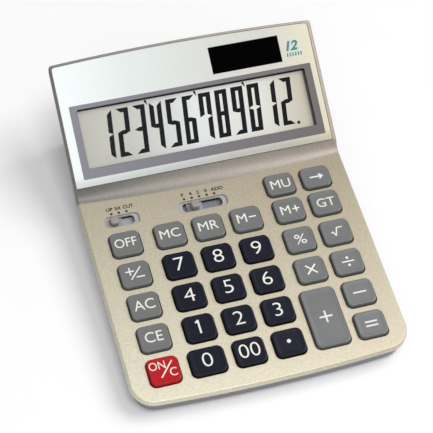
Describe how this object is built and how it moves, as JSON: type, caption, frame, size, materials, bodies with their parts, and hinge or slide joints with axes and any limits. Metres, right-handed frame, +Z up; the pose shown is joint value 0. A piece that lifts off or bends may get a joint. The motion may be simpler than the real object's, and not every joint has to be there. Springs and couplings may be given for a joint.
{
  "type": "desktop calculator",
  "caption": "Desktop calculator with a raised display head, solar cell, slide switches, sprung keys and a sliding battery cover.",
  "frame": {"origin": "centre of the outline on the desk surface that the feet stand on", "axes": "+X to the user's right, +Y from the front edge to the display head, +Z up from the desk"},
  "size_m": [0.1414, 0.1803, 0.057],
  "materials": {
    "cover_champagne": "champagne metallic paint with a fine sandy sparkle, satin",
    "slider_champagne": "champagne moulded plastic, satin",
    "plate_silver": "brushed silver sheet with a thin printed border",
    "window_clear": "clear polished window",
    "display_glass": "pale grey green display glass with dark segments",
    "solar_black": "glossy black solar cell",
    "frame_white": "plain white moulding",
    "flex_film": "amber film lead",
    "key_grey": "satin grey with white legends",
    "key_navy": "satin dark navy with white legends",
    "key_red": "satin red with white legends",
    "rubber_black": "matte black rubber",
    "board_green": "green board with a black chip cover",
    "switch_grey": "blue grey moulded plastic",
    "steel": "plated steel",
    "case_grey": "fine grained blue grey plastic",
    "battery_wrap": "plain dark sleeve",
    "wire_red": "red insulation",
    "wire_black": "black insulation"
  },
  "bodies": {
    "case": {"battery_cell": "battery_wrap", "battery_contact": "steel", "battery_spring": "steel", "battery_wire_negative": "wire_black", "battery_wire_positive": "wire_red", "bottom_case": "case_grey", "decimal_switch_body": "switch_grey", "display_frame": "frame_white", "display_plate": "plate_silver", "display_window": "window_clear", "foot_front_left": "rubber_black", "foot_front_right": "rubber_black", "foot_rear_left": "rubber_black", "foot_rear_right": "rubber_black", "key_mat": "rubber_black", "lcd_glass": "display_glass", "lcd_ribbon": "flex_film", "main_board": "board_green", "rounding_switch_body": "switch_grey", "screw_front_left": "steel", "screw_front_right": "steel", "screw_rear_left": "steel", "screw_rear_right": "steel", "solar_cell": "solar_black", "solar_lead": "flex_film", "top_cover": "cover_champagne"},
    "key_off": {"key_off": "key_grey"},
    "key_sign": {"key_sign": "key_grey"},
    "key_ac": {"key_ac": "key_grey"},
    "key_ce": {"key_ce": "key_grey"},
    "key_on_clear": {"key_on_clear": "key_red"},
    "key_mc": {"key_mc": "key_grey"},
    "key_7": {"key_7": "key_navy"},
    "key_4": {"key_4": "key_navy"},
    "key_1": {"key_1": "key_navy"},
    "key_0": {"key_0": "key_navy"},
    "key_mr": {"key_mr": "key_grey"},
    "key_8": {"key_8": "key_navy"},
    "key_5": {"key_5": "key_navy"},
    "key_2": {"key_2": "key_navy"},
    "key_00": {"key_00": "key_navy"},
    "key_m_minus": {"key_m_minus": "key_grey"},
    "key_9": {"key_9": "key_navy"},
    "key_6": {"key_6": "key_navy"},
    "key_3": {"key_3": "key_navy"},
    "key_point": {"key_point": "key_navy"},
    "key_mu": {"key_mu": "key_grey"},
    "key_m_plus": {"key_m_plus": "key_grey"},
    "key_percent": {"key_percent": "key_grey"},
    "key_multiply": {"key_multiply": "key_grey"},
    "key_plus": {"key_plus": "key_grey"},
    "key_arrow": {"key_arrow": "key_grey"},
    "key_gt": {"key_gt": "key_grey"},
    "key_root": {"key_root": "key_grey"},
    "key_divide": {"key_divide": "key_grey"},
    "key_minus": {"key_minus": "key_grey"},
    "key_equals": {"key_equals": "key_grey"},
    "rounding_slider": {"rounding_slider": "slider_champagne"},
    "decimal_slider": {"decimal_slider": "slider_champagne"},
    "battery_cover": {"battery_cover": "case_grey"}
  },
  "joints": [
    {"name": "key_off_press", "type": "slide", "parent": "case", "child": "key_off", "axis": [0, 0.0698, -0.9976], "range_m": [0, 0.0017], "stiffness_N_per_m": 400, "deforming": ["key_mat"]},
    {"name": "key_sign_press", "type": "slide", "parent": "case", "child": "key_sign", "axis": [0, 0.0698, -0.9976], "range_m": [0, 0.0017], "stiffness_N_per_m": 400, "deforming": ["key_mat"]},
    {"name": "key_ac_press", "type": "slide", "parent": "case", "child": "key_ac", "axis": [0, 0.0698, -0.9976], "range_m": [0, 0.0017], "stiffness_N_per_m": 400, "deforming": ["key_mat"]},
    {"name": "key_ce_press", "type": "slide", "parent": "case", "child": "key_ce", "axis": [0, 0.0698, -0.9976], "range_m": [0, 0.0017], "stiffness_N_per_m": 400, "deforming": ["key_mat"]},
    {"name": "key_on_clear_press", "type": "slide", "parent": "case", "child": "key_on_clear", "axis": [0, 0.0698, -0.9976], "range_m": [0, 0.0017], "stiffness_N_per_m": 400, "deforming": ["key_mat"]},
    {"name": "key_mc_press", "type": "slide", "parent": "case", "child": "key_mc", "axis": [0, 0.0698, -0.9976], "range_m": [0, 0.0017], "stiffness_N_per_m": 400, "deforming": ["key_mat"]},
    {"name": "key_7_press", "type": "slide", "parent": "case", "child": "key_7", "axis": [0, 0.0698, -0.9976], "range_m": [0, 0.0017], "stiffness_N_per_m": 400, "deforming": ["key_mat"]},
    {"name": "key_4_press", "type": "slide", "parent": "case", "child": "key_4", "axis": [0, 0.0698, -0.9976], "range_m": [0, 0.0017], "stiffness_N_per_m": 400, "deforming": ["key_mat"]},
    {"name": "key_1_press", "type": "slide", "parent": "case", "child": "key_1", "axis": [0, 0.0698, -0.9976], "range_m": [0, 0.0017], "stiffness_N_per_m": 400, "deforming": ["key_mat"]},
    {"name": "key_0_press", "type": "slide", "parent": "case", "child": "key_0", "axis": [0, 0.0698, -0.9976], "range_m": [0, 0.0017], "stiffness_N_per_m": 400, "deforming": ["key_mat"]},
    {"name": "key_mr_press", "type": "slide", "parent": "case", "child": "key_mr", "axis": [0, 0.0698, -0.9976], "range_m": [0, 0.0017], "stiffness_N_per_m": 400, "deforming": ["key_mat"]},
    {"name": "key_8_press", "type": "slide", "parent": "case", "child": "key_8", "axis": [0, 0.0698, -0.9976], "range_m": [0, 0.0017], "stiffness_N_per_m": 400, "deforming": ["key_mat"]},
    {"name": "key_5_press", "type": "slide", "parent": "case", "child": "key_5", "axis": [0, 0.0698, -0.9976], "range_m": [0, 0.0017], "stiffness_N_per_m": 400, "deforming": ["key_mat"]},
    {"name": "key_2_press", "type": "slide", "parent": "case", "child": "key_2", "axis": [0, 0.0698, -0.9976], "range_m": [0, 0.0017], "stiffness_N_per_m": 400, "deforming": ["key_mat"]},
    {"name": "key_00_press", "type": "slide", "parent": "case", "child": "key_00", "axis": [0, 0.0698, -0.9976], "range_m": [0, 0.0017], "stiffness_N_per_m": 400, "deforming": ["key_mat"]},
    {"name": "key_m_minus_press", "type": "slide", "parent": "case", "child": "key_m_minus", "axis": [0, 0.0698, -0.9976], "range_m": [0, 0.0017], "stiffness_N_per_m": 400, "deforming": ["key_mat"]},
    {"name": "key_9_press", "type": "slide", "parent": "case", "child": "key_9", "axis": [0, 0.0698, -0.9976], "range_m": [0, 0.0017], "stiffness_N_per_m": 400, "deforming": ["key_mat"]},
    {"name": "key_6_press", "type": "slide", "parent": "case", "child": "key_6", "axis": [0, 0.0698, -0.9976], "range_m": [0, 0.0017], "stiffness_N_per_m": 400, "deforming": ["key_mat"]},
    {"name": "key_3_press", "type": "slide", "parent": "case", "child": "key_3", "axis": [0, 0.0698, -0.9976], "range_m": [0, 0.0017], "stiffness_N_per_m": 400, "deforming": ["key_mat"]},
    {"name": "key_point_press", "type": "slide", "parent": "case", "child": "key_point", "axis": [0, 0.0698, -0.9976], "range_m": [0, 0.0017], "stiffness_N_per_m": 400, "deforming": ["key_mat"]},
    {"name": "key_mu_press", "type": "slide", "parent": "case", "child": "key_mu", "axis": [0, 0.0698, -0.9976], "range_m": [0, 0.0017], "stiffness_N_per_m": 400, "deforming": ["key_mat"]},
    {"name": "key_m_plus_press", "type": "slide", "parent": "case", "child": "key_m_plus", "axis": [0, 0.0698, -0.9976], "range_m": [0, 0.0017], "stiffness_N_per_m": 400, "deforming": ["key_mat"]},
    {"name": "key_percent_press", "type": "slide", "parent": "case", "child": "key_percent", "axis": [0, 0.0698, -0.9976], "range_m": [0, 0.0017], "stiffness_N_per_m": 400, "deforming": ["key_mat"]},
    {"name": "key_multiply_press", "type": "slide", "parent": "case", "child": "key_multiply", "axis": [0, 0.0698, -0.9976], "range_m": [0, 0.0017], "stiffness_N_per_m": 400, "deforming": ["key_mat"]},
    {"name": "key_plus_press", "type": "slide", "parent": "case", "child": "key_plus", "axis": [0, 0.0698, -0.9976], "range_m": [0, 0.0017], "stiffness_N_per_m": 400, "deforming": ["key_mat"]},
    {"name": "key_arrow_press", "type": "slide", "parent": "case", "child": "key_arrow", "axis": [0, 0.0698, -0.9976], "range_m": [0, 0.0017], "stiffness_N_per_m": 400, "deforming": ["key_mat"]},
    {"name": "key_gt_press", "type": "slide", "parent": "case", "child": "key_gt", "axis": [0, 0.0698, -0.9976], "range_m": [0, 0.0017], "stiffness_N_per_m": 400, "deforming": ["key_mat"]},
    {"name": "key_root_press", "type": "slide", "parent": "case", "child": "key_root", "axis": [0, 0.0698, -0.9976], "range_m": [0, 0.0017], "stiffness_N_per_m": 400, "deforming": ["key_mat"]},
    {"name": "key_divide_press", "type": "slide", "parent": "case", "child": "key_divide", "axis": [0, 0.0698, -0.9976], "range_m": [0, 0.0017], "stiffness_N_per_m": 400, "deforming": ["key_mat"]},
    {"name": "key_minus_press", "type": "slide", "parent": "case", "child": "key_minus", "axis": [0, 0.0698, -0.9976], "range_m": [0, 0.0017], "stiffness_N_per_m": 400, "deforming": ["key_mat"]},
    {"name": "key_equals_press", "type": "slide", "parent": "case", "child": "key_equals", "axis": [0, 0.0698, -0.9976], "range_m": [0, 0.0017], "stiffness_N_per_m": 400, "deforming": ["key_mat"]},
    {"name": "rounding_slide", "type": "slide", "parent": "case", "child": "rounding_slider", "axis": [1, 0, 0], "range_m": [0, 0.0079]},
    {"name": "decimal_slide", "type": "slide", "parent": "case", "child": "decimal_slider", "axis": [1, 0, 0], "range_m": [-0.004, 0.012]},
    {"name": "battery_cover_slide", "type": "slide", "parent": "case", "child": "battery_cover", "axis": [0, 1, 0], "range_m": [0, 0.009]}
  ]
}
